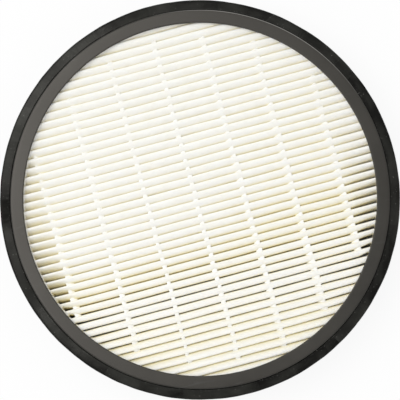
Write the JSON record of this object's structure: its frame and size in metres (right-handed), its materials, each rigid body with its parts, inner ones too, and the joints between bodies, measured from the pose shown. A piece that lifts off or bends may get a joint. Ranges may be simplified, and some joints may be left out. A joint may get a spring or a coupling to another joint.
{
  "type": "air purifier hepa filter",
  "caption": "Flat round air filter: a pleated white paper pack with glue strings across its folds, potted in a black plastic ring with a soft outer seal.",
  "frame": {"origin": "middle of the rear rim, on the surface that the filter lies on", "axes": "+Z towards the open front face, +X along the pleats, +Y across the pleats"},
  "size_m": [0.2069, 0.2068, 0.032],
  "materials": {
    "frame_plastic": "satin black moulded plastic",
    "seal": "soft matt black foam rubber",
    "filter_paper": "matt white fibre paper",
    "glue": "smooth off-white hot-melt glue",
    "potting_glue": "cream poured glue"
  },
  "bodies": {
    "root": {"frame": "frame_plastic", "seal_strip": "seal", "pleat_pack": "filter_paper", "edge_sealant": "potting_glue", "front_glue_bead_1": "glue", "front_glue_bead_2": "glue", "front_glue_bead_3": "glue", "front_glue_bead_4": "glue", "front_glue_bead_5": "glue", "front_glue_bead_6": "glue", "front_glue_bead_7": "glue", "rear_glue_bead_1": "glue", "rear_glue_bead_2": "glue", "rear_glue_bead_3": "glue", "rear_glue_bead_4": "glue", "rear_glue_bead_5": "glue", "rear_glue_bead_6": "glue", "rear_glue_bead_7": "glue"}
  },
  "joints": []
}
